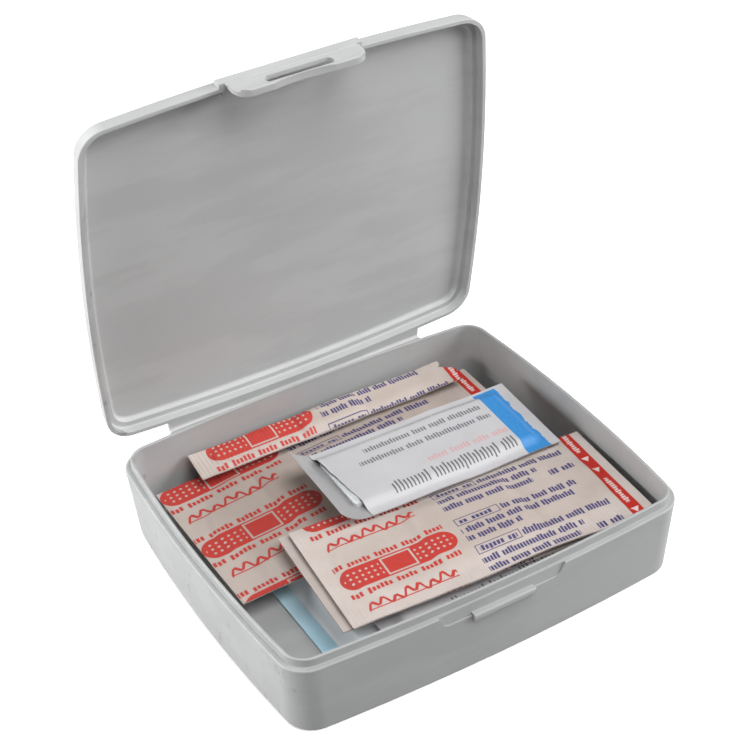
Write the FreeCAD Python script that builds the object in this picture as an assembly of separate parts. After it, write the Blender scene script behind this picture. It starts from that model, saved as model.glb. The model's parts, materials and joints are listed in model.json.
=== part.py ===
import FreeCAD, Part
import os

# Hinged plastic pocket case with its loose first aid packets, in millimetres.
# X runs along the hinge to the right, Y from the latch to the hinge, Z up.
# The origin is in the middle of the tray's flat base.

# ---- case: driving dimensions ------------------------------------------------
CASE_LENGTH = 113.3        # along X between the corners, before the sides bow out
CASE_WIDTH = 97.0          # along Y between the corners
SIDE_BOW = 2.4             # how far the left and right sides bow out
FRONT_BOW = 2.25           # how far the front and back bow out
CORNER_R = 7.9             # upright corners
LEDGE_Z = 21.8             # top of the tray's outer wall
LIP_HEIGHT = 2.3           # thin lip above the ledge
LIP_OUTER_INSET = 1.45     # lip's outer face, in from the outer edge
LIP_INNER_INSET = 2.25     # lip's inner face, in from the outer edge
BASE_INSET = 1.42          # draft of the outer wall, taken at the base
FLOOR_INSET = 2.9          # inner wall at the floor, in from the outer edge
FLOOR_THICK = 1.5
LID_GAP = 0.3              # between the ledge and the closed lid's rim
LID_HEIGHT = 5.04          # closed lid, rim to outer top
LID_PANEL = 1.2
SKIRT_THICK = 1.1
STEP_HEIGHT = 2.5          # depth of the lid's first step above its rim
STEP_INSET = 2.4
STEP_DRAFT = 0.6
LID_OPEN_DEG = 83.3        # how far the lid stands open in the rest pose
BASE_EDGE_R = 1.0          # rounding of the tray's bottom edge, inside and out
LEDGE_EDGE_R = 0.4
LIP_EDGE_R = 0.3
LID_TOP_R = 1.6
LID_RIM_R = 0.25
LID_STEP_R = 0.4
LID_PANEL_R = 1.0

# ---- hinge and latch ---------------------------------------------------------
HINGE_HALF = 39.7          # half length of the hinge flanges
WEB_HALF = 20.7            # half length of the thin centre web
HINGE_OUT = 1.4            # hinge line behind the middle of the back wall
FLANGE_THICK = 1.0
FLANGE_STOP = 0.65         # flange edge to hinge line
FLANGE_END_R = 0.8
WEB_R = 0.35
WEB_CENTRE_R = 0.25
RECESS_TOP_HALF = 18.8
RECESS_LOW_HALF = 16.5
RECESS_HEIGHT = 3.6
RECESS_DEPTH = 0.8
RIB_HALF = 8.9
RIB_LOW_Z = 17.1
RIB_HIGH_Z = 19.0
RIB_OUT = 0.9
PAD_HALF = 19.8            # thick pad on the lid that carries the latch
PAD_OUT = 1.0
PAD_HEIGHT = 2.8
TAB_HALF = 18.2
TAB_TOP_Z = 21.0
TAB_LOW_Z = 14.8
TAB_THICK = 1.2
TAB_CLEAR = 0.15           # tab's inner face in front of the outer wall
TAB_CORNER_R = 4.0
TAB_BEAD = 0.8             # how far the thick lower edge stands out
SLOT_HALF = 9.4
SLOT_LOW_Z = 16.6
SLOT_HIGH_Z = 19.5
GUSSET_X = 17.4            # small ribs inside the lid at the ends of the latch
GUSSET_THICK = 0.7
LATCH_WEB_R = 0.3

# ---- packets -----------------------------------------------------------------
FILM = 0.2                 # one layer of wrapper
RELEASE = 0.1              # release paper
STRIP = 0.35               # adhesive strip
SHELF_Z = FLOOR_THICK + 0.3

# name, centre x, centre y, turn, underside z, length, width, strip length,
# strip width, pad length, pad width
BANDAGES = [
    ("large", 0.6, 19.0, 0.8, 8.6, 100.0, 49.5, 86.0, 38.0, 44.0, 26.0),
    ("back", 4.0, 41.6, 0.0, 12.6, 84.0, 8.8, 70.0, 4.6, 14.0, 3.0),
    ("under", 8.3, -17.6, -4.0, 13.0, 85.0, 38.5, 74.0, 25.0, 25.0, 18.0),
    ("front", 11.0, -19.8, -4.5, 15.3, 86.0, 38.5, 74.0, 25.0, 25.0, 18.0),
]

# name, centre x, centre y, turn, underside z, length, width, folded wipe
# length and width
TOWELETTES = [
    ("spare_towelette", 8.0, -28.6, 0.0, 9.2, 67.0, 29.5, 54.0, 20.0),
    ("towelette", 15.0, 8.8, -1.5, 17.7, 67.0, 29.5, 54.0, 20.0),
]

WIPE_THICK = 1.7
GAUZE_CENTRE = (-7.0, -8.0)
GAUZE_SACHET = (62.0, 73.0)
GAUZE_PAD = (46.0, 56.0)
GAUZE_THICK = 2.3
GAUZE_R = 5.0
PAD_THICK = 0.8

HALF_X = CASE_LENGTH / 2.0
HALF_Y = CASE_WIDTH / 2.0
FRONT_Y = -(HALF_Y + FRONT_BOW)
LIP_TOP = LEDGE_Z + LIP_HEIGHT
RIM_Z = LEDGE_Z + LID_GAP
LID_TOP = RIM_Z + LID_HEIGHT
HINGE_Y = HALF_Y + FRONT_BOW + HINGE_OUT
HINGE_Z = LEDGE_Z + LID_GAP / 2.0
LATCH_Y = FRONT_Y - TAB_CLEAR - TAB_THICK / 3.0
LATCH_Z = TAB_TOP_Z + 0.65

parts = {}


def vec(x, y, z):
    return FreeCAD.Vector(x, y, z)


def bowed_wire(inset, z):
    """Outline of the case at one level: four sides that bow gently out."""
    hx = HALF_X - inset
    hy = HALF_Y - inset
    corners = [vec(-hx, -hy, z), vec(hx, -hy, z), vec(hx, hy, z), vec(-hx, hy, z)]
    middles = [
        vec(0, -hy - FRONT_BOW, z),
        vec(hx + SIDE_BOW, 0, z),
        vec(0, hy + FRONT_BOW, z),
        vec(-hx - SIDE_BOW, 0, z),
    ]
    edges = []
    for i in range(4):
        arc = Part.Arc(corners[i], middles[i], corners[(i + 1) % 4])
        edges.append(arc.toShape())
    return Part.Wire(edges)


def upright_edges(shape, z_low, z_high):
    """Edges that climb from one level to the other: the four corners."""
    found = []
    for edge in shape.Edges:
        zs = sorted([v.Z for v in edge.Vertexes])
        if len(zs) == 2 and abs(zs[0] - z_low) < 0.01 and abs(zs[1] - z_high) < 0.01:
            found.append(edge)
    return found


def level_edges(shape, z):
    """Edges that lie in one level plane."""
    found = []
    for edge in shape.Edges:
        box = edge.BoundBox
        if abs(box.ZMin - z) < 0.01 and abs(box.ZMax - z) < 0.01:
            found.append(edge)
    return found


def bowed_block(inset_low, inset_high, z_low, z_high, radius):
    """Solid between two outlines, with rounded upright corners."""
    low = bowed_wire(inset_low, z_low)
    high = bowed_wire(inset_high, z_high)
    block = Part.makeLoft([low, high], True, True)
    return block.makeFillet(radius, upright_edges(block, z_low, z_high))


def box(x0, x1, y0, y1, z0, z1):
    return Part.makeBox(x1 - x0, y1 - y0, z1 - z0, vec(x0, y0, z0))


def rod(radius, half, y, z, middle=0.0):
    """Round bar along X."""
    return Part.makeCylinder(radius, 2 * half, vec(middle - half, y, z), vec(1, 0, 0))


def rounded_plate(length, width, z0, z1, radius):
    """Flat plate centred on the origin with rounded corners in plan."""
    plate = box(-length / 2, length / 2, -width / 2, width / 2, z0, z1)
    return plate.makeFillet(radius, upright_edges(plate, z0, z1))


def pocket_sheet(length, width, z0, thick, inner_length, inner_width, rise, radius):
    """A thin sheet with a raised pocket that is open below."""
    corner = min(inner_length, inner_width) / 6.0
    sheet = rounded_plate(length, width, z0, z0 + thick, radius)
    outer = rounded_plate(
        inner_length + 2 * thick, inner_width + 2 * thick, z0, z0 + rise + thick, corner
    )
    inner = rounded_plate(inner_length, inner_width, z0 - 1.0, z0 + rise, corner * 0.9)
    return sheet.fuse(outer).cut(inner).removeSplitter()


def placed(shape, x, y, turn):
    shape = shape.copy()
    shape.rotate(vec(0, 0, 0), vec(0, 0, 1), turn)
    shape.translate(vec(x, y, 0))
    return shape


def opened(shape):
    """Swing a piece of the closed lid about the hinge to the rest pose."""
    shape = shape.copy()
    shape.rotate(vec(0, HINGE_Y, HINGE_Z), vec(1, 0, 0), -LID_OPEN_DEG)
    return shape


# ---- tray ----------------------------------------------------------------------
def make_tray():
    outer = bowed_block(BASE_INSET, 0.0, 0.0, LEDGE_Z, CORNER_R)
    outer = outer.makeFillet(BASE_EDGE_R, level_edges(outer, 0.0))
    outer = outer.makeFillet(LEDGE_EDGE_R, level_edges(outer, LEDGE_Z))
    lip = bowed_block(LIP_OUTER_INSET, LIP_OUTER_INSET, LEDGE_Z - 2.0, LIP_TOP,
                      CORNER_R - LIP_OUTER_INSET)
    lip = lip.makeFillet(LIP_EDGE_R, level_edges(lip, LIP_TOP))
    flange = make_flange(HALF_Y - 1.5, LEDGE_Z - FLANGE_THICK)
    cavity = bowed_block(FLOOR_INSET, LIP_INNER_INSET, FLOOR_THICK, LIP_TOP,
                         CORNER_R - FLOOR_INSET)
    cavity = cavity.makeFillet(BASE_EDGE_R, level_edges(cavity, FLOOR_THICK))
    body = outer.fuse([lip, flange]).cut(cavity)
    inner_edges = [e for e in level_edges(body, LIP_TOP)
                   if inside_outline(e, LIP_INNER_INSET + 0.1)]
    body = body.makeFillet(LIP_EDGE_R, inner_edges)
    return body.cut(make_recess()).removeSplitter()


def make_flange(y_root, z_low):
    """Hinge flange on a back wall, round at its two free corners."""
    y_end = HINGE_Y - FLANGE_STOP
    flange = box(-HINGE_HALF, HINGE_HALF, y_root, y_end, z_low, z_low + FLANGE_THICK)
    ends = [e for e in upright_edges(flange, z_low, z_low + FLANGE_THICK)
            if abs(e.BoundBox.YMax - y_end) < 0.01]
    return flange.makeFillet(FLANGE_END_R, ends)


def inside_outline(edge, inset):
    """True for an edge that lies within the outline at this inset."""
    box_x = edge.BoundBox.XMax <= HALF_X - inset + SIDE_BOW + 0.2
    box_y = edge.BoundBox.YMax <= HALF_Y - inset + FRONT_BOW + 0.2
    return box_x and box_y


def make_recess():
    """Shallow pocket in the front wall, open at the ledge, round at the bottom."""
    z_low = LEDGE_Z - RECESS_HEIGHT
    z_high = LEDGE_Z + 1.0
    points = [
        vec(-RECESS_TOP_HALF, 0, z_high),
        vec(-RECESS_LOW_HALF, 0, z_low),
        vec(RECESS_LOW_HALF, 0, z_low),
        vec(RECESS_TOP_HALF, 0, z_high),
    ]
    face = Part.Face(Part.makePolygon(points + [points[0]]))
    pocket = face.extrude(vec(0, 3.0 + RECESS_DEPTH, 0))
    low = [e for e in pocket.Edges if abs(e.BoundBox.ZMax - z_low) < 0.01
           and e.BoundBox.YLength > 1.0]
    pocket = pocket.makeFillet(2.0, low)
    pocket.translate(vec(0, FRONT_Y - 3.0, 0))
    return pocket


def make_catch_rib(tray):
    y_out = FRONT_Y - RIB_OUT
    rib = box(-RIB_HALF, RIB_HALF, y_out, FRONT_Y + 1.4, RIB_LOW_Z, RIB_HIGH_Z)
    front = [e for e in rib.Edges if abs(e.BoundBox.YMax - y_out) < 0.01
             and e.BoundBox.XLength > 1.0]
    rib = rib.makeFillet(0.6, front)
    return rib.cut(tray)


def make_hinge_web(x0, x1, radius):
    """Thin strip on the tray flange that ends in a bead on the hinge line."""
    bead = rod(radius, (x1 - x0) / 2.0, HINGE_Y, HINGE_Z, (x0 + x1) / 2.0)
    neck = box(x0, x1, HINGE_Y - FLANGE_STOP, HINGE_Y, LEDGE_Z - 0.3, LEDGE_Z)
    return bead.fuse(neck).removeSplitter()


# ---- lid and latch, drawn closed -------------------------------------------------
def make_lid():
    outer = bowed_block(0.0, 0.6, RIM_Z, LID_TOP, CORNER_R)
    outer = outer.makeFillet(LID_TOP_R, level_edges(outer, LID_TOP))
    outer = outer.makeFillet(LID_RIM_R, level_edges(outer, RIM_Z))
    step_z = RIM_Z + STEP_HEIGHT
    panel_z = LID_TOP - LID_PANEL
    flange = make_flange(HALF_Y - 0.9, RIM_Z)
    pad = box(-PAD_HALF, PAD_HALF, FRONT_Y - PAD_OUT, FRONT_Y + 0.9,
              RIM_Z, RIM_Z + PAD_HEIGHT)
    top = [e for e in pad.Edges if abs(e.BoundBox.ZMin - RIM_Z - PAD_HEIGHT) < 0.01
           and abs(e.BoundBox.YMax - FRONT_Y + PAD_OUT) < 0.01]
    pad = pad.makeFillet(0.6, top)
    skirt_space = bowed_block(SKIRT_THICK, SKIRT_THICK, RIM_Z - 1.0, step_z,
                              CORNER_R - SKIRT_THICK)
    skirt_space = skirt_space.makeFillet(LID_STEP_R, level_edges(skirt_space, step_z))
    panel_space = bowed_block(STEP_INSET, STEP_INSET + STEP_DRAFT, step_z - 1.0,
                              panel_z, CORNER_R - STEP_INSET)
    panel_space = panel_space.makeFillet(LID_PANEL_R, level_edges(panel_space, panel_z))
    lid = outer.fuse([flange, pad]).cut(skirt_space).cut(panel_space)
    y_root = FRONT_Y + SKIRT_THICK - 0.3
    gussets = []
    for x in (-GUSSET_X, GUSSET_X):
        gussets.append(box(x - GUSSET_THICK / 2, x + GUSSET_THICK / 2, y_root,
                           y_root + 3.4, step_z - 0.2, panel_z + 0.2))
    return lid.fuse(gussets).removeSplitter()


def make_latch_web():
    bead = rod(LATCH_WEB_R, TAB_HALF, LATCH_Y, LATCH_Z)
    neck = box(-TAB_HALF, TAB_HALF, LATCH_Y - 0.2, LATCH_Y + 0.2, LATCH_Z, RIM_Z)
    return bead.fuse(neck).removeSplitter()


def make_latch_tab():
    y_in = FRONT_Y - TAB_CLEAR
    y_out = y_in - TAB_THICK
    tab = box(-TAB_HALF, TAB_HALF, y_out, y_in, TAB_LOW_Z, TAB_TOP_Z)
    bead = box(-TAB_HALF, TAB_HALF, y_out - TAB_BEAD, y_in, TAB_LOW_Z, TAB_LOW_Z + 1.2)
    bead = bead.makeFillet(TAB_BEAD / 2.0, [e for e in bead.Edges
                           if e.BoundBox.XLength > 1.0
                           and abs(e.BoundBox.YMax - y_out + TAB_BEAD) < 0.01])
    tab = tab.fuse(bead).removeSplitter()
    trim = box(-TAB_HALF, TAB_HALF, y_out - 3.0, y_in + 1.0, TAB_LOW_Z, TAB_TOP_Z)
    corners = [e for e in trim.Edges if e.BoundBox.YLength > 1.5
               and abs(e.BoundBox.ZMax - TAB_LOW_Z) < 0.01]
    trim = trim.makeFillet(TAB_CORNER_R, corners)
    tab = tab.common(trim)
    scoop = Part.makeCylinder(60.0, 6.0, vec(0, y_out - 3.0, TAB_LOW_Z - 59.4), vec(0, 1, 0))
    tab = tab.cut(scoop)
    slot = box(-SLOT_HALF, SLOT_HALF, y_out - 2.0, y_in + 1.0, SLOT_LOW_Z, SLOT_HIGH_Z)
    ends = [e for e in slot.Edges if e.BoundBox.YLength > 1.5]
    slot = slot.makeFillet((SLOT_HIGH_Z - SLOT_LOW_Z) / 2.0 - 0.05, ends)
    return tab.cut(slot).removeSplitter()


# ---- packets ---------------------------------------------------------------------
def make_bandage(name, x, y, turn, z, length, width, strip_l, strip_w, pad_l, pad_w):
    """Paper back, release papers, strip with its pad, and the raised cover."""
    z_strip = z + FILM + RELEASE
    z_cover = z + FILM
    strip_round = strip_w / 2.0 - 0.1
    tab_l = strip_l / 2.0 - 0.3
    rise = RELEASE + PAD_THICK + STRIP + 0.15
    pieces = {}
    pieces["paper"] = rounded_plate(length, width, z, z + FILM, 0.8)
    pieces["cover"] = pocket_sheet(length, width, z_cover, FILM, strip_l + 2.0,
                                   strip_w + 2.0, rise, 0.8)
    for side, sign in (("release_left", -1.0), ("release_right", 1.0)):
        release = rounded_plate(tab_l, strip_w, z + FILM, z + FILM + RELEASE,
                                strip_w / 7.0)
        release.translate(vec(sign * (tab_l / 2.0 + 0.3), 0, 0))
        pieces[side] = release
    pieces["pad"] = rounded_plate(pad_l, pad_w, z_strip, z_strip + PAD_THICK, 1.0)
    plate = rounded_plate(strip_l, strip_w, z_strip, z_strip + STRIP, strip_round)
    hump = rounded_plate(pad_l + 1.4, pad_w + 1.4, z_strip,
                         z_strip + PAD_THICK + STRIP, 1.6)
    pieces["strip"] = plate.fuse(hump).cut(pieces["pad"]).removeSplitter()
    for piece in pieces:
        parts[name + "_" + piece] = placed(pieces[piece], x, y, turn)


def make_towelette(name, x, y, turn, z, length, width, wipe_l, wipe_w):
    """Flat foil back, raised foil front, and the folded wipe between them."""
    back = rounded_plate(length, width, z, z + FILM, 0.6)
    front = pocket_sheet(length, width, z + FILM, FILM, wipe_l + 2.0, wipe_w + 2.0,
                         WIPE_THICK + 0.1, 0.6)
    wipe = rounded_plate(wipe_l, wipe_w, z + FILM, z + FILM + WIPE_THICK, 1.0)
    parts[name + "_back"] = placed(back, x, y, turn)
    parts[name + "_front"] = placed(front, x, y, turn)
    parts[name + "_wipe"] = placed(wipe, x, y, turn)


def make_gauze_sachet():
    x, y = GAUZE_CENTRE
    length, width = GAUZE_SACHET
    pad_l, pad_w = GAUZE_PAD
    z = SHELF_Z
    back = rounded_plate(length, width, z, z + FILM, 0.8)
    front = pocket_sheet(length, width, z + FILM, FILM, pad_l + 3.0, pad_w + 3.0,
                         2 * GAUZE_THICK + 0.3, 0.8)
    lower = rounded_plate(pad_l, pad_w, z + FILM, z + FILM + GAUZE_THICK, GAUZE_R)
    upper = rounded_plate(pad_l, pad_w, z + FILM + GAUZE_THICK,
                          z + FILM + 2 * GAUZE_THICK, GAUZE_R)
    parts["gauze_film_back"] = placed(back, x, y, 0.0)
    parts["gauze_film_front"] = placed(front, x, y, 0.0)
    parts["gauze_pad_lower"] = placed(lower, x, y, 0.0)
    parts["gauze_pad_upper"] = placed(upper, x, y, 0.0)


# ---- build -----------------------------------------------------------------------
tray = make_tray()
parts["tray"] = tray
parts["catch_rib"] = make_catch_rib(tray)
parts["hinge_web_left"] = make_hinge_web(-HINGE_HALF, -WEB_HALF, WEB_R)
parts["hinge_web_centre"] = make_hinge_web(-WEB_HALF, WEB_HALF, WEB_CENTRE_R)
parts["hinge_web_right"] = make_hinge_web(WEB_HALF, HINGE_HALF, WEB_R)
parts["lid"] = opened(make_lid())
parts["latch_web"] = opened(make_latch_web())
parts["latch_tab"] = opened(make_latch_tab())
make_gauze_sachet()
for row in BANDAGES:
    make_bandage(*row)
for row in TOWELETTES:
    make_towelette(*row)

os.makedirs("parts", exist_ok=True)
for node in parts:
    parts[node].exportStep("parts/" + node + ".step")
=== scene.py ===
import json
import math

import bpy
from mathutils import Matrix, Quaternion, Vector, noise


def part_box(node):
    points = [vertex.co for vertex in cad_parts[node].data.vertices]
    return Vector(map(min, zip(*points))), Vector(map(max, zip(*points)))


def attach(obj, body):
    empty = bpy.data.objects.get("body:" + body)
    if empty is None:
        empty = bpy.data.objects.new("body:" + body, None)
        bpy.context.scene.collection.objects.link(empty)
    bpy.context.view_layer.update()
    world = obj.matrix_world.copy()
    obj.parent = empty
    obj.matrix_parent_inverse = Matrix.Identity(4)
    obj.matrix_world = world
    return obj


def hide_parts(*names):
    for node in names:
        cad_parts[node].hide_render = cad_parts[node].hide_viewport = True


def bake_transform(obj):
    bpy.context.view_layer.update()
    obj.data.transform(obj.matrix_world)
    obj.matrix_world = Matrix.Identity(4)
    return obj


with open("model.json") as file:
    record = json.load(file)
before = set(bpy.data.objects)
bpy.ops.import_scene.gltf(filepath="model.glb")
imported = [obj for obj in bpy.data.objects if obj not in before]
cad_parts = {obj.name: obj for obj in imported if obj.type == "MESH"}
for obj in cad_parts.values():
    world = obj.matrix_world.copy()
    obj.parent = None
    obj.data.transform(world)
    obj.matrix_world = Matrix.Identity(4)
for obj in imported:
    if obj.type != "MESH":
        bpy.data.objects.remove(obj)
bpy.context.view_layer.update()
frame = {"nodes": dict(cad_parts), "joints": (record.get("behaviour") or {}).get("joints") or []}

# A hinged plastic pocket case, open, with its loose first aid packets.
# Packets are drawn in millimetres in their own sheet: u along the packet, v across
# it, w up from its underside. Everything else is in metres, in the row frame.
MM = 0.001

# ---- camera and light ----------------------------------------------------------------
CAMERA_AT = Vector((-0.1814, -0.3204, 0.3227))
CAMERA_AIM = Vector((0.0136, 0.0318, 0.0309))
CAMERA_ROLL = -0.056
CAMERA_LENS = 87.6
CAMERA_SENSOR = 36.0
SKY_SEEN = 1.05            # the backdrop as the camera sees it
SKY_GLOW = 0.05            # what it adds to the light
FLOOR_HALF = 1.1           # half the side of the studio floor
FLOOR_GLOW = 0.3           # the floor is a light table, so shadows on it stay faint
# name, place, aim, width, height and power of each softbox
SOFTBOXES = (
    ("left_low_softbox", (-1.0, 0.15, 0.16), (0.0, 0.0, 0.02), 0.7, 0.3, 8.8),
    ("left_back_softbox", (-0.7, 0.8, 0.5), (0.0, 0.0, 0.03), 0.7, 0.7, 6.5),
    ("back_softbox", (-0.25, 1.0, 0.75), (0.0, 0.05, 0.1), 0.8, 0.5, 5.0),
    ("top_softbox", (0.1, -0.45, 1.0), (0.0, 0.0, 0.05), 0.7, 0.7, 10.0),
    ("right_softbox", (0.97, -0.62, 0.5), (0.0, 0.0, 0.05), 0.6, 0.6, 12.0),
)

# ---- packets: layers -----------------------------------------------------------------
FILM = 0.2                 # one layer of wrapper
RELEASE = 0.1              # release paper
STRIP = 0.35               # adhesive strip
PAD = 0.8                  # dressing pad on a strip
WIPE = 1.7                 # folded wipe
GAUZE = 2.3                # one folded gauze pad
STRIP_END_GAP = 0.3        # half the gap between the two release papers
CRIMP_PITCH = 1.15         # ridges pressed into the sealed long edges
CRIMP_HIGH = 0.1
SEAL_WIDTH = 6.0
PRINT_SOFT = 0.16          # how softly printed edges end
PRINT_PERIOD = 24.2        # the printed pattern repeats across the packet


def paint(red, green, blue):
    """Linear colour of a paint named by its display values from 0 to 255."""
    linear = []
    for value in (red, green, blue):
        share = value / 255.0
        if share <= 0.04045:
            linear.append(share / 12.92)
        else:
            linear.append(((share + 0.055) / 1.055) ** 2.4)
    return tuple(linear)


def smooth(share):
    """Eases from 0 to 1 with level ends."""
    share = max(0.0, min(1.0, share))
    return share * share * (3.0 - 2.0 * share)


# ---- shader links --------------------------------------------------------------------
class Link:
    """An output socket that adds Math nodes when it is used in an expression."""

    def __init__(self, finish, socket):
        self.finish = finish
        self.socket = socket

    def maths(self, operation, *others):
        inputs = dict(enumerate((self,) + others))
        return self.finish.node("ShaderNodeMath", {"operation": operation}, inputs)

    def __add__(self, other):
        return self.maths("ADD", other)

    def __sub__(self, other):
        return self.maths("SUBTRACT", other)

    def __mul__(self, other):
        return self.maths("MULTIPLY", other)

    def __truediv__(self, other):
        return self.maths("DIVIDE", other)

    def __neg__(self):
        return self.maths("MULTIPLY", -1.0)

    def __radd__(self, other):
        return self + other

    def __rmul__(self, other):
        return self * other

    def __rsub__(self, other):
        return -self + other

    def size(self):
        return self.maths("ABSOLUTE")

    def floor(self):
        return self.maths("FLOOR")

    def part(self):
        return self.maths("FRACT")

    def sine(self):
        return self.maths("SINE")

    def root(self):
        return self.maths("SQRT")

    def most(self, other):
        return self.maths("MAXIMUM", other)

    def over(self, limit):
        return self.maths("GREATER_THAN", limit)

    def clamped(self):
        return self.finish.node("ShaderNodeClamp", {}, {"Value": self})


class Finish:
    """One material: its shader and the nodes behind it."""

    def __init__(self, name, **constants):
        self.material = bpy.data.materials.new(name)
        self.material.use_nodes = True
        self.tree = self.material.node_tree
        self.tree.nodes.clear()
        self.shader = self.tree.nodes.new("ShaderNodeBsdfPrincipled")
        output = self.tree.nodes.new("ShaderNodeOutputMaterial")
        self.tree.links.new(self.shader.outputs[0], output.inputs["Surface"])
        self.axes = {}
        for socket, value in constants.items():
            self.feed(socket.replace("_", " "), value)

    def plug(self, socket, value):
        if isinstance(value, Link):
            self.tree.links.new(value.socket, socket)
        elif isinstance(value, tuple) and len(value) == 3 and socket.type == "RGBA":
            socket.default_value = value + (1.0,)
        else:
            socket.default_value = value

    def node(self, kind, settings, inputs, output=0):
        made = self.tree.nodes.new(kind)
        for name, value in settings.items():
            setattr(made, name, value)
        for socket, value in inputs.items():
            self.plug(made.inputs[socket], value)
        return Link(self, made.outputs[output])

    def feed(self, socket, value):
        self.plug(self.shader.inputs[socket], value)

    def mixed(self, share, first, second):
        return self.node("ShaderNodeMix", {"data_type": "RGBA"},
                         {0: share, 6: first, 7: second}, output=2)

    def spot(self):
        """Position in the piece's own frame, in metres."""
        return self.node("ShaderNodeTexCoord", {}, {}, output=3)

    def sheet(self):
        """Position on a packet's flat sheet, in millimetres."""
        settings = {"attribute_type": "GEOMETRY", "attribute_name": "sheet_mm"}
        return self.node("ShaderNodeAttribute", settings, {}, output=1)

    def axis(self, vector, index):
        key = (vector.socket.node.name, index)
        if key not in self.axes:
            self.axes[key] = self.node("ShaderNodeSeparateXYZ", {}, {0: vector}, output=index)
        return self.axes[key]

    def stretched(self, vector, scale):
        return self.node("ShaderNodeVectorMath", {"operation": "MULTIPLY"},
                         {0: vector, 1: scale})

    def mottle(self, vector, scale, detail=3.0, rough=0.55):
        return self.node("ShaderNodeTexNoise", {"noise_dimensions": "3D"},
                         {"Vector": vector, "Scale": scale, "Detail": detail,
                          "Roughness": rough})

    def chance(self, cell, seed):
        """A random value from 0 to 1 for each whole number."""
        return self.node("ShaderNodeTexWhiteNoise", {"noise_dimensions": "1D"},
                         {"W": cell + seed * 17.31 + 0.5})

    def relief(self, height, depth, strength=1.0):
        """Bump from a height of 0 to 1 that stands for depth in metres."""
        bump = self.node("ShaderNodeBump", {},
                         {"Strength": strength, "Distance": depth, "Height": height})
        self.feed("Normal", bump)


# ---- marks for print -----------------------------------------------------------------
def band(x, low, high, soft=PRINT_SOFT):
    """1 where x lies between two values, with soft ends."""
    half = (high - low) / 2.0
    return ((half - (x - (low + half)).size()) / soft + 0.5).clamped()


def block(u, v, left, right, low, high):
    return band(u, left, right) * band(v, low, high)


def outlined(u, v, left, right, low, high, line):
    whole = block(u, v, left, right, low, high)
    inner = block(u, v, left + line, right - line, low + line, high - line)
    return (whole - inner).clamped()


def capsule_gap(u, v, left, right, middle, radius):
    """Distance outside a bar with round ends, below 0 inside it."""
    half = (right - left) / 2.0
    along = ((u - (left + half)).size() - (half - radius)).most(0.0)
    across = v - middle
    return (along * along + across * across).root() - radius


def filled(gap, soft=PRINT_SOFT):
    return (0.5 - gap / soft).clamped()


def dashes(finish, u, v, left, right, middle, height, seed, letter=0.86, thick=0.72):
    """A row of short upright bars in word-like groups, with no lettering."""
    cell = (u / letter).floor()
    place = (u / letter).part()
    beat = (cell * 0.1543 + (cell * 0.23 + seed).sine() * 0.06 + seed * 0.37).part()
    tall = (finish.chance(cell, seed) - 0.66).over(0.0)
    hang = (finish.chance(cell, seed + 0.37) - 0.9).over(0.0)
    top = height * 0.28 + tall * (height * 0.18)
    foot = height * 0.42 + hang * (height * 0.12)
    bar = band(place, 0.5 - thick / 2.0, 0.5 + thick / 2.0, 0.2)
    across = ((top - (v - middle)) / PRINT_SOFT + 0.5).clamped()
    below = ((v - middle + foot) / PRINT_SOFT + 0.5).clamped()
    return band(u, left, right) * bar * across * below * beat.over(0.12)


def flourish(u, v, left, right, middle, height):
    """A looping underline drawn with one stroke."""
    wave = (u * 1.9).sine() * (height * 0.24) + (u * 0.71).sine() * (height * 0.16)
    slope = (u * 1.9 + math.pi / 2.0).sine().size() * 1.6 + 1.0
    stroke = (0.3 - (v - middle - wave).size() / slope) / PRINT_SOFT + 0.5
    tail = (0.2 - (v - (middle - height * 0.34)).size()) / PRINT_SOFT + 0.5
    return stroke.most(tail).clamped() * band(u, left, right)


def strip_picture(u, v, left, right, low, high):
    """A plaster with its pad and air holes."""
    radius = (high - low) / 2.0
    middle = low + radius
    centre = (left + right) / 2.0
    body = filled(capsule_gap(u, v, left, right, middle, radius))
    pad = outlined(u, v, centre - radius * 1.15, centre + radius * 1.15,
                   low + 0.5, high - 0.5, 0.5)
    across = ((u / 1.7).part() - 0.5) * 1.7
    along = (((v - middle) / 1.7 + 0.5).part() - 0.5) * 1.7
    holes = filled((across * across + along * along).root() - 0.36)
    wings = (u - centre).size().over(radius * 1.35)
    margin = filled(capsule_gap(u, v, left + 1.0, right - 1.0, middle, radius - 1.0))
    return (body - pad - holes * wings * margin).clamped()


def arrow(u, v, middle_u, top, size):
    """Small triangle that points along the stripe."""
    drop = top - v
    inside = (size - drop) * 0.62 - (u - middle_u).size()
    edge = (inside / PRINT_SOFT + 0.5).clamped()
    return edge * band(drop, 0.0, size)


# ---- finishes ------------------------------------------------------------------------
LEFT_WALL_X = -0.0505      # the scuffed wall lies left of this
FRONT_WALL_Y = -0.045      # and the gate mark in front of this
GATE_X = -0.003            # moulding gate mark low on the front wall
GATE_Z = 0.0057
GATE_RADIUS = 0.0021


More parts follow.
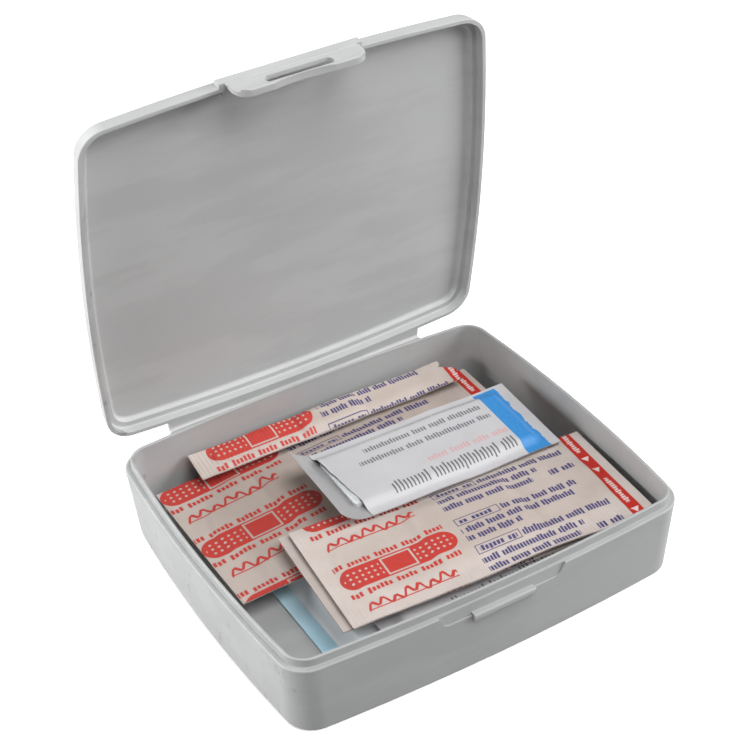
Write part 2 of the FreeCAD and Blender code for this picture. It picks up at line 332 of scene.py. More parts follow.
def case_finish(name, dark, light):
    """Satin grey moulded plastic with flow marks, handling marks and faint scratches."""
    finish = Finish(name, IOR=1.49)
    spot = finish.spot()
    cloud = finish.mottle(spot, 14.0, 2.0)
    flow = finish.mottle(finish.stretched(spot, (26.0, 9.0, 64.0)), 1.0, 4.0, 0.6)
    grain = finish.mottle(spot, 2600.0, 2.0)
    fine = finish.mottle(finish.stretched(spot, (500.0, 2400.0, 500.0)), 1.0, 2.0)
    x = finish.axis(spot, 0)
    y = finish.axis(spot, 1)
    z = finish.axis(spot, 2)
    wall = (LEFT_WALL_X - x).over(0.0)
    streak = finish.mottle(finish.stretched(spot, (150.0, 620.0, 170.0)), 1.0, 3.0)
    patch = finish.mottle(spot, 70.0, 1.0)
    nicks = ((streak - 0.615) * 14.0).clamped() * ((patch - 0.5) * 12.0).clamped() * wall
    ring = ((x - GATE_X) * (x - GATE_X) + (z - GATE_Z) * (z - GATE_Z)).root()
    gate = (0.5 - ((ring - GATE_RADIUS).size() - 0.0001) / 0.00012).clamped()
    gate = gate * (FRONT_WALL_Y - y).over(0.0)
    bloom = finish.mottle(finish.stretched(spot, (17.0, 55.0, 80.0)), 1.0, 6.0, 0.6)
    bloom = ((bloom - 0.5) * 10.0 + 0.5).clamped()
    tone = (cloud * 0.5 + flow * 0.5 - 0.3) * 1.0 + bloom * 0.38
    shade = finish.mixed(tone.clamped(), paint(*dark), paint(*light))
    shade = finish.mixed(nicks * 0.6, shade, paint(104, 104, 104))
    shade = finish.mixed(gate * 0.12, shade, paint(120, 120, 120))
    finish.feed("Base Color", shade)
    finish.feed("Roughness", 0.36 + flow * 0.1 + grain * 0.08)
    finish.relief(grain * 0.5 + fine * 0.25 + flow * 0.8 - nicks * 1.2, 0.00003, 0.5)
    return finish.material


def web_finish():
    """The same plastic where it is thin at the hinges, painted paler than the case as painted
    light for light shining through the thin web, with faint bending creases.
    """
    finish = Finish("hinge_plastic_painted_light", IOR=1.49)
    spot = finish.spot()
    grain = finish.mottle(spot, 1800.0, 2.0)
    crease = finish.mottle(finish.stretched(spot, (90.0, 2200.0, 2200.0)), 1.0, 3.0)
    # painted light: both tones sit above the tray's, standing in for light through the thin web
    shade = finish.mixed(crease, paint(184, 184, 184), paint(206, 206, 205))
    finish.feed("Base Color", shade)
    finish.feed("Roughness", 0.4 + grain * 0.12)
    finish.relief(crease * 0.7 + grain * 0.3, 0.00005, 0.5)
    return finish.material


COVER_TONE = paint(210, 200, 195)
COVER_SHADE = paint(191, 179, 172)
# tone of the strip and pad showing through the paper, also the tone of the painted shade on
# lower packets
SHOW_THROUGH_AND_SHADE_TONE = paint(166, 150, 138)
RED_INK = paint(186, 40, 30)
NAVY_INK = paint(42, 38, 104)
STRIPE_WHITE = paint(232, 218, 214)

# left, right, middle, height, seed and bar pitch of each dark row of bars in one period
NAVY_ROWS = (
    (-3.6, 7.1, 10.0, 1.8, 7.0, 1.1),
    (8.8, 34.5, 10.0, 2.4, 9.0, 0.86),
    (-4.7, 24.6, 6.6, 2.4, 11.0, 0.86),
    (-4.7, 21.8, 3.3, 2.4, 13.0, 0.86),
    (27.0, 34.2, 3.2, 2.4, 15.0, 1.02),
    (-3.6, 7.1, 21.2, 1.7, 17.0, 1.2),
    (8.8, 30.8, 21.2, 2.4, 19.0, 0.86),
    (-4.7, 28.4, 17.8, 2.4, 21.0, 0.86),
    (-4.7, 11.0, 14.6, 2.4, 23.0, 0.86),
)


def paper_ground(finish, sheet, tone, shade_tone):
    """Paper colour with fibres, faint clouds and a little handling grey."""
    cloud = finish.mottle(sheet, 0.09, 3.0)
    fibre = finish.mottle(finish.stretched(sheet, (1.4, 5.0, 1.0)), 1.6, 3.0, 0.7)
    ground = finish.mixed((cloud * 1.7 - 0.4).clamped(), tone, shade_tone)
    return finish.mixed(fibre * 0.1, ground, paint(150, 136, 130)), fibre


def cover_finish(name, phase, strip, pad, turn=0.0, wide=1.0, start=0.0, stripe=38.65,
                 dull=0.0):
    """Printed wrapper cover: strip pictures, dash rows, a peel stripe and a crimped seal.

    phase and start place the printed pattern across and along the packet, wide
    stretches it along, stripe is the middle of the peel stripe, and dull is how much
    painted shade darkens the paper where it lies low in the pile.
    """
    finish = Finish(name, IOR=1.45)
    sheet = finish.sheet()
    flat_u = finish.axis(sheet, 0)
    flat_v = finish.axis(sheet, 1)
    u = (flat_u - start) / wide
    v = flat_v - flat_u * turn
    row = ((v - phase) / PRINT_PERIOD).part() * PRINT_PERIOD
    red = dashes(finish, u, row, -39.0, -8.2, 22.0, 1.9, 3.0, 1.1)
    red = red.most(strip_picture(u, row, -39.2, -6.8, 13.1, 20.5))
    red = red.most(dashes(finish, u, row, -39.0, -8.4, 11.3, 1.9, 5.0, 1.15))
    red = red.most(flourish(u, row, -37.0, -12.0, 6.4, 3.8))
    navy = outlined(u, row, -4.6, 8.1, 8.6, 11.4, 0.24)
    for left, right, middle, height, seed, letter in NAVY_ROWS:
        navy = navy.most(dashes(finish, u, row, left, right, middle, height, seed, letter))
    navy = navy.most(outlined(u, row, -4.6, 8.1, 19.8, 22.6, 0.24))
    ground, fibre = paper_ground(finish, sheet, COVER_TONE, COVER_SHADE)
    # painted shade: the whole cover darkens towards this tone by dull, more for packets lower in
    # the pile
    ground = finish.mixed(dull, ground, SHOW_THROUGH_AND_SHADE_TONE)
    strip_l, strip_w = strip
    pad_l, pad_w = pad
    ghost = filled(capsule_gap(flat_u, flat_v, -strip_l / 2.0, strip_l / 2.0, 0.0,
                               strip_w / 2.0), 3.2)
    core = filled(capsule_gap(flat_u, flat_v, -pad_l / 2.0, pad_l / 2.0, 0.0,
                              pad_w / 2.0), 3.6)
    ground = finish.mixed(ghost * (0.16 + fibre * 0.32) + core * 0.16, ground, SHOW_THROUGH_AND_SHADE_TONE)
    colour = finish.mixed(navy * 0.92, ground, NAVY_INK)
    colour = finish.mixed(red * 0.95, colour, RED_INK)
    mark = band(flat_u, stripe - 1.75, stripe + 1.75)
    small = dashes(finish, row, flat_u, 7.0, 18.5, stripe, 1.5, 25.0, 0.9)
    arrows = arrow(flat_u, row, stripe, 4.6, 1.9).most(arrow(flat_u, row, stripe, 23.4, 1.9))
    colour = finish.mixed(mark, colour, RED_INK)
    colour = finish.mixed(small.most(arrows) * mark * 0.85, colour, STRIPE_WHITE)
    finish.feed("Base Color", colour)
    finish.feed("Roughness", 0.46 + fibre * 0.16 - red * 0.06)
    crease = finish.mottle(finish.stretched(sheet, (0.26, 0.07, 1.0)), 1.0, 4.0, 0.6)
    finish.relief(crease + fibre * 0.12, 0.0006, 0.6)
    return finish.material


def paper_finish(name, tone, shade_tone):
    """Unprinted wrapper or release paper."""
    finish = Finish(name, IOR=1.45)
    sheet = finish.sheet()
    ground, fibre = paper_ground(finish, sheet, paint(*tone), paint(*shade_tone))
    finish.feed("Base Color", ground)
    finish.feed("Roughness", 0.5 + fibre * 0.16)
    finish.relief(fibre, 0.00005, 0.6)
    return finish.material


def strip_finish():
    """Tan plastic film with rows of air holes and a fine pressed grain."""
    finish = Finish("strip_tan_film", IOR=1.48)
    sheet = finish.sheet()
    u = finish.axis(sheet, 0)
    v = finish.axis(sheet, 1)
    across = ((u / 2.0).part() - 0.5) * 2.0
    along = ((v / 2.0).part() - 0.5) * 2.0
    holes = filled((across * across + along * along).root() - 0.28)
    cloud = finish.mottle(sheet, 0.2, 3.0)
    grain = finish.mottle(sheet, 9.0, 2.0)
    tan = finish.mixed(cloud, paint(212, 170, 138), paint(224, 186, 156))
    finish.feed("Base Color", finish.mixed(holes * 0.7, tan, paint(120, 84, 62)))
    finish.feed("Roughness", 0.42 + grain * 0.2)
    finish.relief(grain * 0.4 - holes, 0.00012, 0.7)
    return finish.material


def woven_finish(name, tone, shade_tone, pitch, deep):
    """Open weave: threads pass over and under on a square mesh."""
    finish = Finish(name)
    finish.feed("Sheen Weight", 0.25)
    sheet = finish.sheet()
    u = finish.axis(sheet, 0)
    v = finish.axis(sheet, 1)
    warp = (u * (math.tau / pitch)).sine().size()
    weft = (v * (math.tau / pitch)).sine().size()
    turn = (u * (math.pi / pitch)).sine() * (v * (math.pi / pitch)).sine()
    thread = warp.most(weft) * 0.75 + turn * 0.25
    fuzz = finish.mottle(sheet, 5.0, 4.0, 0.7)
    height = (thread * 0.8 + fuzz * 0.3).clamped()
    # painted shade: the low parts of the weave, between the threads, are painted in the darker
    # tone
    finish.feed("Base Color", finish.mixed(height, paint(*shade_tone), paint(*tone)))
    finish.feed("Roughness", 0.8 + fuzz * 0.15)
    finish.relief(height, deep, 0.8)
    return finish.material


def foil_finish():
    """White satin foil laminate, printed with dash rows, a title row and a blue band."""
    finish = Finish("towelette_foil_printed", IOR=1.5)
    sheet = finish.sheet()
    u = finish.axis(sheet, 0)
    v = finish.axis(sheet, 1)
    wander = finish.mottle(sheet, 0.35, 4.0, 0.7) * 2.2 - 1.1
    grey = dashes(finish, u, v, -3.0, 22.3, 11.5, 1.6, 31.0, 0.8, 0.6)
    grey = grey.most(dashes(finish, u, v, -15.0, 22.4, 7.2, 2.2, 33.0, 0.86, 0.6))
    grey = grey.most(dashes(finish, u, v, -18.5, 22.0, 2.9, 2.2, 35.0, 0.86, 0.6))
    title = dashes(finish, u, v, -16.0, 22.4, -9.6, 4.4, 37.0, 1.12, 0.4)
    pink = dashes(finish, u, v, -3.2, 22.6, -4.6, 2.3, 39.0, 1.0, 0.6)
    blue = band(u + wander * band(u, 27.5, 33.0, 1.0), 23.3, 30.4) * band(v, -15.2, 13.9)
    cloud = finish.mottle(sheet, 0.12, 3.0)
    fine = finish.mottle(finish.stretched(sheet, (1.0, 3.0, 1.0)), 0.8, 4.0)
    colour = finish.mixed(cloud, paint(197, 196, 198), paint(184, 183, 185))
    colour = finish.mixed(grey * 0.85, colour, paint(86, 88, 98))
    colour = finish.mixed(title * 0.9, colour, paint(52, 54, 64))
    colour = finish.mixed(pink * 0.75, colour, paint(208, 150, 152))
    colour = finish.mixed(blue, colour, finish.mixed(fine, paint(40, 122, 190),
                                                     paint(72, 148, 210)))
    finish.feed("Base Color", colour)
    finish.feed("Roughness", 0.34 + fine * 0.16)
    finish.relief(fine, 0.0001, 0.5)
    return finish.material


def foil_back_finish():
    """Inside of the foil: dull silver."""
    finish = Finish("towelette_foil_inside", Metallic=0.35, IOR=1.5)
    sheet = finish.sheet()
    fine = finish.mottle(finish.stretched(sheet, (0.6, 2.6, 1.0)), 1.2, 4.0)
    finish.feed("Base Color", finish.mixed(fine, paint(166, 165, 166), paint(192, 191, 192)))
    finish.feed("Roughness", 0.34 + fine * 0.16)
    finish.relief(fine, 0.0001, 0.5)
    return finish.material


def film_finish():
    """Pale lilac film with a light blue edge stripe."""
    finish = Finish("sachet_film_lilac", IOR=1.46)
    sheet = finish.sheet()
    u = finish.axis(sheet, 0)
    cloud = finish.mottle(sheet, 0.16, 3.0)
    fine = finish.mottle(finish.stretched(sheet, (3.0, 0.7, 1.0)), 1.0, 4.0)
    tone = finish.mixed(cloud, paint(222, 228, 232), paint(234, 237, 240))
    edge = band(u, -31.5, -26.6, 0.5)
    deep = (0.5 - (finish.axis(sheet, 1)) / 60.0).clamped()
    blue = finish.mixed(deep, paint(192, 219, 228), paint(158, 206, 226))
    finish.feed("Base Color", finish.mixed(edge * 0.9, tone, blue))
    finish.feed("Roughness", 0.3 + fine * 0.2)
    finish.relief(fine, 0.0001, 0.5)
    return finish.material


def floor_finish():
    """Pale matt studio floor."""
    finish = Finish("studio_floor", Emission_Strength=FLOOR_GLOW)
    cloud = finish.mottle(finish.spot(), 3.0, 2.0)
    finish.feed("Base Color", finish.mixed(cloud, (0.965, 0.965, 0.965), (0.985, 0.985, 0.985)))
    finish.feed("Emission Color", finish.mixed(cloud, (0.95, 0.95, 0.95), (1.0, 1.0, 1.0)))
    finish.feed("Roughness", 0.85 + cloud * 0.1)
    return finish.material


# ---- meshes --------------------------------------------------------------------------
def new_piece(name, points, faces, material, sheet=None, sharp=()):
    """A smooth-shaded mesh object; sheet holds each point's place on the flat packet."""
    mesh = bpy.data.meshes.new(name)
    mesh.from_pydata([tuple(p) for p in points], [], faces)
    mesh.validate()
    mesh.materials.append(material)
    mesh.polygons.foreach_set("use_smooth", [True] * len(mesh.polygons))
    if sheet is not None:
        layer = mesh.attributes.new("sheet_mm", "FLOAT_VECTOR", "POINT")
        layer.data.foreach_set("vector", [x for place in sheet for x in place])
    if sharp:
        marked = {frozenset(pair) for pair in sharp}
        flags = [frozenset(edge.vertices) in marked for edge in mesh.edges]
        crease = mesh.attributes.new("sharp_edge", "BOOLEAN", "EDGE")
        crease.data.foreach_set("value", flags)
    mesh.update()
    piece = bpy.data.objects.new(name, mesh)
    bpy.context.scene.collection.objects.link(piece)
    return piece


def even(count):
    return [i / count for i in range(count + 1)]


def grid_solid(columns, rows, low_point, high_point):
    """Closed slab over a grid: points, faces and the sharp edges round its rim."""
    across, along = len(columns), len(rows)
    points = [low_point(s, t) for t in rows for s in columns]
    points += [high_point(s, t) for t in rows for s in columns]
    lift = across * along
    faces = []
    for j in range(along - 1):
        for i in range(across - 1):
            a = j * across + i
            ring = (a, a + 1, a + across + 1, a + across)
            faces.append(tuple(reversed(ring)))
            faces.append(tuple(k + lift for k in ring))
    rim = [i for i in range(across)]
    rim += [j * across + across - 1 for j in range(1, along)]
    rim += [(along - 1) * across + i for i in range(across - 2, -1, -1)]
    rim += [j * across for j in range(along - 2, 0, -1)]
    sharp = []
    for k, first in enumerate(rim):
        second = rim[(k + 1) % len(rim)]
        faces.append((first, second, second + lift, first + lift))
        sharp += [(first, second), (first + lift, second + lift)]
    return points, faces, sharp


class Packet:
    """Where one packet lies in the tray and how its flat sheet is bent."""

    def __init__(self, body, node, turn, length, width, seed, corners=(0, 0, 0, 0),
                 wave=0.25, curl=None):
        low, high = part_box(node)
        self.body = body
        self.x = (low.x + high.x) / 2.0 / MM
        self.y = (low.y + high.y) / 2.0 / MM
        self.z = low.z / MM
        self.turn = math.radians(turn)
        self.length = length
        self.width = width
        self.seed = seed
        self.corners = corners
        self.wave = wave
        self.curl = curl
        self.heights = {}

    def lift(self, u, v):
        """Height of the bent sheet above the flat one, worked out once per point."""
        if (u, v) not in self.heights:
            self.heights[(u, v)] = self.bent(u, v)
        return self.heights[(u, v)]

    def bent(self, u, v):
        """Sum of the packet's tilt, twist, ripples and curl."""
        s = max(0.0, min(1.0, u / self.length + 0.5))
        t = max(0.0, min(1.0, v / self.width + 0.5))
        left_front, right_front, left_back, right_back = self.corners
        front = left_front + (right_front - left_front) * s
        back = left_back + (right_back - left_back) * s
        height = front + (back - front) * t
        edge = 0.25 + 0.75 * (2.0 * t - 1.0) ** 2
        ripple = noise.noise(Vector((u / 17.0, v / 13.0, self.seed)))
        small = noise.noise(Vector((u / 6.5, v / 7.5, self.seed + 9.0)))
        height += self.wave * edge * (ripple * 1.5 + small * 0.35)
        if self.curl:
            height += self.curl(u, v)
        return height

    def place(self, u, v, w):
        """A point of the sheet in the row frame, in metres."""
        x = self.x + u * math.cos(self.turn) - v * math.sin(self.turn)
        y = self.y + u * math.sin(self.turn) + v * math.cos(self.turn)
        return Vector((x, y, self.z + w + self.lift(u, v))) * MM

    def layer(self, name, outline, low, high, material, slot, columns, rows):
        """One layer of the packet: a thin closed sheet, bent with the packet."""
        sheet = [outline(s, t) + (0.0,) for t in rows for s in columns] * 2

        def under(s, t):
            u, v = outline(s, t)
            return self.place(u, v, low(u, v))

        def upper(s, t):
            u, v = outline(s, t)
            return self.place(u, v, high(u, v))

        points, faces, sharp = grid_solid(columns, rows, under, upper)
        piece = new_piece(name + "_sheet", points, faces, material, sheet, sharp)
        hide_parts(name)
        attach(piece, self.body)
        return piece


def rectangle(length, width):
    def outline(s, t):
        return (s - 0.5) * length, (t - 0.5) * width
    return outline


def rounded(length, width, radius):
    """Rectangle with round corners: the rows near its ends are drawn in."""
    def outline(s, t):
        v = (t - 0.5) * width
        past = max(0.0, abs(v) - (width / 2.0 - radius))
        half = length / 2.0 - radius + math.sqrt(max(0.0, radius * radius - past * past))
        return (2.0 * s - 1.0) * half, v
    return outline


def eased_rows(count):
    """Rows that crowd towards both long edges, for round corners."""
    return [0.5 - 0.5 * math.cos(math.pi * i / count) for i in range(count + 1)]


def level(height):
    return lambda u, v: height


def capsule_far(u, v, length, width):
    """Distance outside a strip with round ends."""
    radius = width / 2.0
    along = max(0.0, abs(u) - (length / 2.0 - radius))
    return math.hypot(along, v) - radius


def block_far(u, v, length, width):
    along = abs(u) - length / 2.0
    across = abs(v) - width / 2.0
    outside = math.hypot(max(0.0, along), max(0.0, across))
    return outside + min(0.0, max(along, across))


# ---- bandages ------------------------------------------------------------------------
RELEASE_FINISH = paper_finish("release_paper_white", (224, 223, 218), (212, 212, 208))
PAPER_FINISH = paper_finish("wrapper_paper_plain", (208, 194, 189), (194, 180, 174))
STRIP_FINISH = strip_finish()
PAD_FINISH = woven_finish("dressing_pad_weave", (240, 239, 234), (206, 204, 198), 0.9, 0.0002)
WIPE_FINISH = woven_finish("wipe_cloth_weave", (238, 240, 242), (206, 210, 214), 0.7, 0.0002)
GAUZE_FINISH = woven_finish("gauze_weave", (242, 241, 236), (186, 184, 178), 1.3, 0.0005)


FRONT_SIZE = (86.0, 38.5)
BACK_SIZE = (84.0, 8.8)
WING_RISE = 0.5            # how far the wrapper swells over the strip
PAD_RISE = 0.9             # and over the pad on top of that
CRIMP_STEPS = 4            # mesh columns in one crimp


def bandage(packet, strip, pad, cover_material, edges=None):
    """One wrapped adhesive bandage: paper, cover, release papers, strip and pad."""
    name = packet.body.replace("_bandage", "")
    length, width = packet.length, packet.width
    strip_l, strip_w = strip
    pad_l, pad_w = pad
    outline = edges or rectangle(length, width)
    columns = even(int(length / CRIMP_PITCH) * CRIMP_STEPS)
    rows = even(max(12, int(width / 1.6)))

    def crimp(u, v):
        seal = smooth((abs(v) - (width / 2.0 - SEAL_WIDTH)) / 1.2)
        return CRIMP_HIGH * seal * (0.5 + 0.5 * math.cos(math.tau * u / CRIMP_PITCH))

    def swell(u, v):
        wing = smooth(1.0 - capsule_far(u, v, strip_l, strip_w) / 2.2)
        hump = smooth(1.0 - block_far(u, v, pad_l + 1.4, pad_w + 1.4) / 3.0)
        return WING_RISE * wing + PAD_RISE * hump

    def cover_low(u, v):
        return FILM + crimp(u, v) + swell(u, v)

    def cover_high(u, v):
        return 2.0 * FILM + crimp(u, v) + swell(u, v)

    packet.layer(name + "_paper", outline, lambda u, v: crimp(u, v) * 0.9,
                 lambda u, v: FILM - 0.01 + crimp(u, v) * 0.9,
                 PAPER_FINISH, "wrapper_paper", columns, rows)
    packet.layer(name + "_cover", outline, cover_low, cover_high, cover_material,
                 "wrapper_cover", columns, rows)
    tab = strip_l / 2.0 - STRIP_END_GAP
    for side, sign in (("left", -1.0), ("right", 1.0)):
        shift = sign * (tab / 2.0 + STRIP_END_GAP)
        base = rounded(tab, strip_w, strip_w / 7.0)

        def moved(s, t, base=base, shift=shift):
            u, v = base(s, t)
            return u + shift, v

        packet.layer(name + "_release_" + side, moved, level(FILM + 0.01),
                     level(FILM + RELEASE - 0.01), RELEASE_FINISH, "release_paper",
                     even(20), eased_rows(12))

    def pad_high(u, v):
        crown = smooth(-block_far(u, v, pad_l, pad_w) / 1.6)
        return FILM + RELEASE + PAD * (0.55 + 0.4 * crown)

    def strip_low(u, v):
        hump = smooth(1.0 - block_far(u, v, pad_l, pad_w) / 1.4)
        return FILM + RELEASE + 0.01 + PAD * hump

    pad_piece = packet.layer(name + "_pad", rounded(pad_l, pad_w, 1.0),
                             level(FILM + RELEASE + 0.01), pad_high, PAD_FINISH,
                             "dressing_pad", even(24), eased_rows(16))
    packet.layer(name + "_strip", rounded(strip_l, strip_w, strip_w / 2.0 - 0.1), strip_low,
                 lambda u, v: strip_low(u, v) + STRIP, STRIP_FINISH, "strip_plastic",
                 even(70), eased_rows(28))


def front_edges(s, t):
    """The front bandage's long edges wander a little."""
    u = (s - 0.5) * FRONT_SIZE[0]
    v = (t - 0.5) * FRONT_SIZE[1]
    return u, v + 0.25 * math.sin(u / 9.0) * abs(2.0 * t - 1.0)


def back_edges(s, t):
    """The narrow bandage's right end is torn off in steps."""
    left = -BACK_SIZE[0] / 2.0
    v = (t - 0.5) * BACK_SIZE[1]
    torn = 1.2 * noise.noise(Vector((v / 1.4, 4.0, 0.0)))
    torn += 0.7 * noise.noise(Vector((v / 0.5, 9.0, 0.0)))
    right = 41.2 - 3.4 * smooth((v + 0.5) / 2.5) + torn
    return left + (right - left) * s, v


def heaped(u, v):
    """The large bandage rises over the pile in the middle and sinks at both ends."""
    return 1.3 * smooth(1.0 - abs(u - 6.0) / 52.0) - 0.5


FRONT = Packet("front_bandage", "front_paper", -4.5, *FRONT_SIZE, 3.0,
               corners=(-0.9, 1.8, 0.2, 0.6), wave=0.4)
UNDER = Packet("under_bandage", "under_paper", -4.0, 85.0, 38.5, 5.0,
               corners=(-0.2, 0.2, 0.9, 0.0), wave=0.2)
LARGE = Packet("large_bandage", "large_paper", 0.8, 100.0, 49.5, 7.0,
               corners=(0.0, 0.3, 1.6, 1.8), wave=0.3, curl=heaped)
BACK = Packet("back_bandage", "back_paper", 0.0, *BACK_SIZE, 13.0,
              corners=(1.2, 0.8, 3.2, 2.6), wave=0.42)

# dull on each cover sets its painted shade, for how low the packet lies in the pile
bandage(LARGE, (86.0, 38.0), (44.0, 26.0),
        cover_finish("cover_large", 6.0, (86.0, 38.0), (44.0, 26.0), turn=0.03, wide=1.12,
                     start=-6.2, stripe=46.6, dull=0.42))
bandage(BACK, (70.0, 4.6), (14.0, 3.0),
        cover_finish("cover_back", -14.6, (70.0, 4.6), (14.0, 3.0), start=2.0, stripe=40.0,
                     dull=0.3),
        back_edges)
bandage(UNDER, (74.0, 25.0), (25.0, 18.0),
        cover_finish("cover_under", 14.2, (74.0, 25.0), (25.0, 18.0), dull=0.12))
bandage(FRONT, (74.0, 25.0), (25.0, 18.0),
        cover_finish("cover_front", 3.4, (74.0, 25.0), (25.0, 18.0), dull=0.08), front_edges)


# ---- towelettes ----------------------------------------------------------------------
TOWELETTE_SIZE = (67.0, 29.5)
WIPE_SIZE = (54.0, 20.0)
SCOOP_FROM = 25.5          # the opened end curls up past this distance from the middle
FOIL_FINISH = foil_finish()
FOIL_INSIDE = foil_back_finish()


def towelette(packet, opened):
    """A foil towelette; the opened one has its top foil torn back and its end curled."""
    name = packet.body.replace("top_", "")
    length, width = packet.length, packet.width
    wipe_l, wipe_w = WIPE_SIZE

    def swell(u, v):
        hump = smooth(1.0 - block_far(u, v, wipe_l, wipe_w) / 3.0)
        return (WIPE + 0.05) * hump

    def torn(s, t):
        v = (t - 0.5) * width
        left = -length / 2.0
        if opened:
            left += 9.0 - 3.2 * t + 0.25 * noise.noise(Vector((v / 3.0, 1.0, 0.0)))
        return left + (length / 2.0 - left) * s, v

    packet.layer(name + "_back", rectangle(length, width), level(0.0), level(FILM - 0.01),
                 FOIL_INSIDE, "towelette_foil", even(70), even(20))
    packet.layer(name + "_front", torn, lambda u, v: FILM + swell(u, v),
                 lambda u, v: 2.0 * FILM + swell(u, v), FOIL_FINISH, "towelette_foil",
                 even(110), even(34))

    def folds(u, v):
        crown = smooth(-block_far(u, v, wipe_l, wipe_w) / 2.4)
        seam = 0.16 * math.exp(-((v - 2.0) / 0.5) ** 2)
        return FILM + WIPE * (0.62 + 0.34 * crown) - seam

    wipe = packet.layer(name + "_wipe", rounded(wipe_l, wipe_w, 1.0), level(FILM + 0.02),
                        folds, WIPE_FINISH, "wipe_cloth", even(60), eased_rows(26))


def open_end(u, v):
    """The torn left end curls up like a scoop."""
    past = max(0.0, -u - SCOOP_FROM)
    return 0.075 * past * past


TOWELETTE = Packet("top_towelette", "towelette_back", -1.5, *TOWELETTE_SIZE, 17.0,
                   corners=(0.2, -0.2, 0.8, 0.9), wave=0.3, curl=open_end)
SPARE = Packet("spare_towelette", "spare_towelette_back", 0.0, *TOWELETTE_SIZE, 19.0,
               corners=(0.0, 0.6, 0.0, 0.3), wave=0.15)
towelette(SPARE, False)
towelette(TOWELETTE, True)


# ---- gauze sachet --------------------------------------------------------------------
SACHET_SIZE = (62.0, 73.0)
GAUZE_SIZE = (46.0, 56.0)


def gauze_sachet():
    """Clear-edged film sachet with two folded gauze pads."""
    packet = Packet("gauze_sachet", "gauze_film_back", 0.0, *SACHET_SIZE, 23.0, wave=0.08)
    film = film_finish()
    pad_l, pad_w = GAUZE_SIZE

    def swell(u, v):
        hump = smooth(1.0 - block_far(u, v, pad_l, pad_w) / 3.6)
        return (2.0 * GAUZE + 0.15) * hump

    packet.layer("gauze_film_back", rectangle(*SACHET_SIZE), level(0.0), level(FILM - 0.02),
                 film, "sachet_film", even(40), even(46))
    packet.layer("gauze_film_front", rectangle(*SACHET_SIZE),
                 lambda u, v: FILM + swell(u, v), lambda u, v: 2.0 * FILM + swell(u, v),
                 film, "sachet_film", even(90), even(100))
    for side, start in (("lower", FILM + 0.02), ("upper", FILM + GAUZE + 0.02)):
        def crowned(u, v, start=start):
            edge = smooth(-block_far(u, v, pad_l, pad_w) / 3.0)
            seam = 0.2 * math.exp(-(u / 0.6) ** 2)
            return start + (GAUZE - 0.06) * (0.6 + 0.4 * edge) - seam

        pad = packet.layer("gauze_pad_" + side, rounded(pad_l, pad_w, 5.0), level(start),
                           crowned, GAUZE_FINISH, "gauze", even(60), eased_rows(60))


gauze_sachet()


# ---- case ----------------------------------------------------------------------------
# One plastic in two painted tones. The lid and latch tab are painted lighter, as painted light
# for the light and bounce the standing lid gets. The tray and catch rib are painted darker, as
# painted shade.
TRAY_FINISH_PAINTED_SHADE = case_finish("tray_plastic_painted_shade", (161, 162, 162), (176, 177, 177))
LID_FINISH_PAINTED_LIGHT = case_finish("lid_plastic_painted_light", (177, 178, 178), (193, 194, 194))
WEB_FINISH_PAINTED_LIGHT = web_finish()
for part, case_material in (("tray", TRAY_FINISH_PAINTED_SHADE), ("lid", LID_FINISH_PAINTED_LIGHT),
                            ("catch_rib", TRAY_FINISH_PAINTED_SHADE), ("latch_tab", LID_FINISH_PAINTED_LIGHT)):
    shell = frame["nodes"][part]
    shell.data.materials.clear()
    shell.data.materials.append(case_material)


def joint(name):
    return next(row for row in frame["joints"] if row["name"] == name)


def bent_strip(name, left, right, start, turn, end, thick, thin):
    """Living hinge: a strip along X whose section follows a quarter bend."""
    steps = even(14)
    lengths = even(max(4, int((right - left) / 0.002)))

    def middle(t):
        first = start.lerp(turn, t)
        return first.lerp(turn.lerp(end, t), t)

    def side(s, t, sign):
        ahead = middle(min(1.0, t + 0.01)) - middle(max(0.0, t - 0.01))
        out = Vector((0.0, ahead.z, -ahead.y)).normalized()
        half = (thin + (thick - thin) * (2.0 * t - 1.0) ** 2) / 2.0
        place = middle(t) + out * half * sign
        return Vector((left + (right - left) * s, place.y, place.z))

    points, faces, sharp = grid_solid(lengths, steps, lambda s, t: side(s, t, -1.0),
                                      lambda s, t: side(s, t, 1.0))
    return new_piece(name, points, [tuple(reversed(f)) for f in faces], WEB_FINISH_PAINTED_LIGHT, None, sharp)


def lid_turned(point):
    """A point of the closed lid, swung to where the lid stands at rest."""
    row = joint("lid_hinge")
    pivot = Vector(row["pos_m"])
    angle = math.radians(row["range_deg"][0])
    return pivot + Matrix.Rotation(angle, 3, "X") @ (point - pivot)


FLANGE = 0.001             # thickness of the flanges that the hinge strips join
FLANGE_DROP = 0.00015      # the tray flange's top lies this far under the hinge line
FLANGE_BACK = 0.00065      # and its edge this far in front of it
FLANGE_GAP = 0.0003        # between the two flanges, closed
STRIP_LAP = 0.0003         # how far a strip reaches into a flange
LATCH_STRIP_UP = 0.0007    # the latch strip's reach to each side of its pivot
LATCH_STRIP_DOWN = 0.0009
LATCH_STRIP = (0.0009, 0.00045)
hinge_pivot = Vector(joint("lid_hinge")["pos_m"])
ledge_z = hinge_pivot.z - FLANGE_DROP
flange_y = hinge_pivot.y - FLANGE_BACK
tray_edge = Vector((0.0, flange_y - STRIP_LAP, ledge_z - FLANGE / 2.0))
lid_edge = lid_turned(Vector((0.0, flange_y - STRIP_LAP,
                              ledge_z + FLANGE_GAP + FLANGE / 2.0)))
web_turn = Vector((0.0, lid_edge.y, tray_edge.z))
for part, thick, thin in (("hinge_web_left", 0.00094, 0.0006),
                          ("hinge_web_centre", 0.0009, 0.00032),
                          ("hinge_web_right", 0.00094, 0.0006)):
    web_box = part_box(part)
    web = bent_strip(part + "_strip", web_box[0].x, web_box[1].x, tray_edge, web_turn,
                     lid_edge, thick, thin)
    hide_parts(part)
    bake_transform(web)

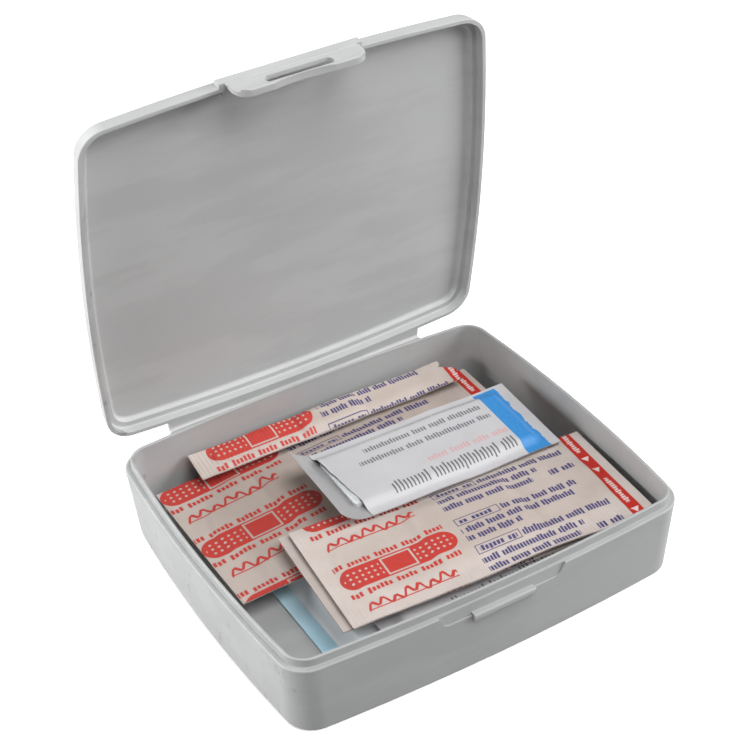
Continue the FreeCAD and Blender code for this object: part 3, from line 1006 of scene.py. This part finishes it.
tab_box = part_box("latch_tab")
latch_pivot = Vector(joint("latch_flex")["pos_m"])
lid_up = lid_turned(Vector((0.0, 0.0, 1.0))) - lid_turned(Vector((0.0, 0.0, 0.0)))
web_top = latch_pivot + lid_up * LATCH_STRIP_UP
web_end = latch_pivot - lid_up * LATCH_STRIP_DOWN
latch_web = bent_strip("latch_web_strip", tab_box[0].x, tab_box[1].x, web_top,
                       latch_pivot, web_end, *LATCH_STRIP)
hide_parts("latch_web")
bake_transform(latch_web)


# ---- stage ---------------------------------------------------------------------------
def soft_light(name, place, aim, width, height, power):
    lamp = bpy.data.lights.new(name, "AREA")
    lamp.shape = "RECTANGLE"
    lamp.size = width
    lamp.size_y = height
    lamp.energy = power
    light = bpy.data.objects.new(name, lamp)
    light.location = place
    light.rotation_mode = "QUATERNION"
    light.rotation_quaternion = (Vector(aim) - Vector(place)).to_track_quat("-Z", "Y")
    bpy.context.scene.collection.objects.link(light)


def stage():
    world = bpy.data.worlds.new("studio_world")
    world.use_nodes = True
    sky = world.node_tree.nodes["Background"]
    path = world.node_tree.nodes.new("ShaderNodeLightPath")
    seen = world.node_tree.nodes.new("ShaderNodeMath")
    seen.operation = "MULTIPLY_ADD"
    seen.inputs[1].default_value = SKY_SEEN - SKY_GLOW
    seen.inputs[2].default_value = SKY_GLOW
    world.node_tree.links.new(path.outputs["Is Camera Ray"], seen.inputs[0])
    world.node_tree.links.new(seen.outputs[0], sky.inputs[1])
    sky.inputs[0].default_value = (1.0, 1.0, 1.0, 1.0)
    bpy.context.scene.world = world
    for name, place, aim, width, height, power in SOFTBOXES:
        soft_light(name, place, aim, width, height, power)
    corners = ((-1.0, -1.0), (1.0, -1.0), (1.0, 1.0), (-1.0, 1.0))
    points = [Vector((x * FLOOR_HALF, y * FLOOR_HALF, 0.0)) for x, y in corners]
    floor = new_piece("studio_floor", points, [(0, 1, 2, 3)], floor_finish())
    floor.visible_diffuse = False


def camera():
    lens = bpy.data.cameras.new("camera")
    lens.lens = CAMERA_LENS
    lens.sensor_width = CAMERA_SENSOR
    lens.clip_start = 0.01
    lens.clip_end = 20.0
    made = bpy.data.objects.new("camera", lens)
    made.location = CAMERA_AT
    made.rotation_mode = "QUATERNION"
    aim = (CAMERA_AIM - CAMERA_AT).to_track_quat("-Z", "Y")
    made.rotation_quaternion = aim @ Quaternion((0.0, 0.0, 1.0), CAMERA_ROLL)
    bpy.context.scene.collection.objects.link(made)
    bpy.context.scene.camera = made


stage()
camera()
bpy.context.scene.view_settings.view_transform = "Standard"
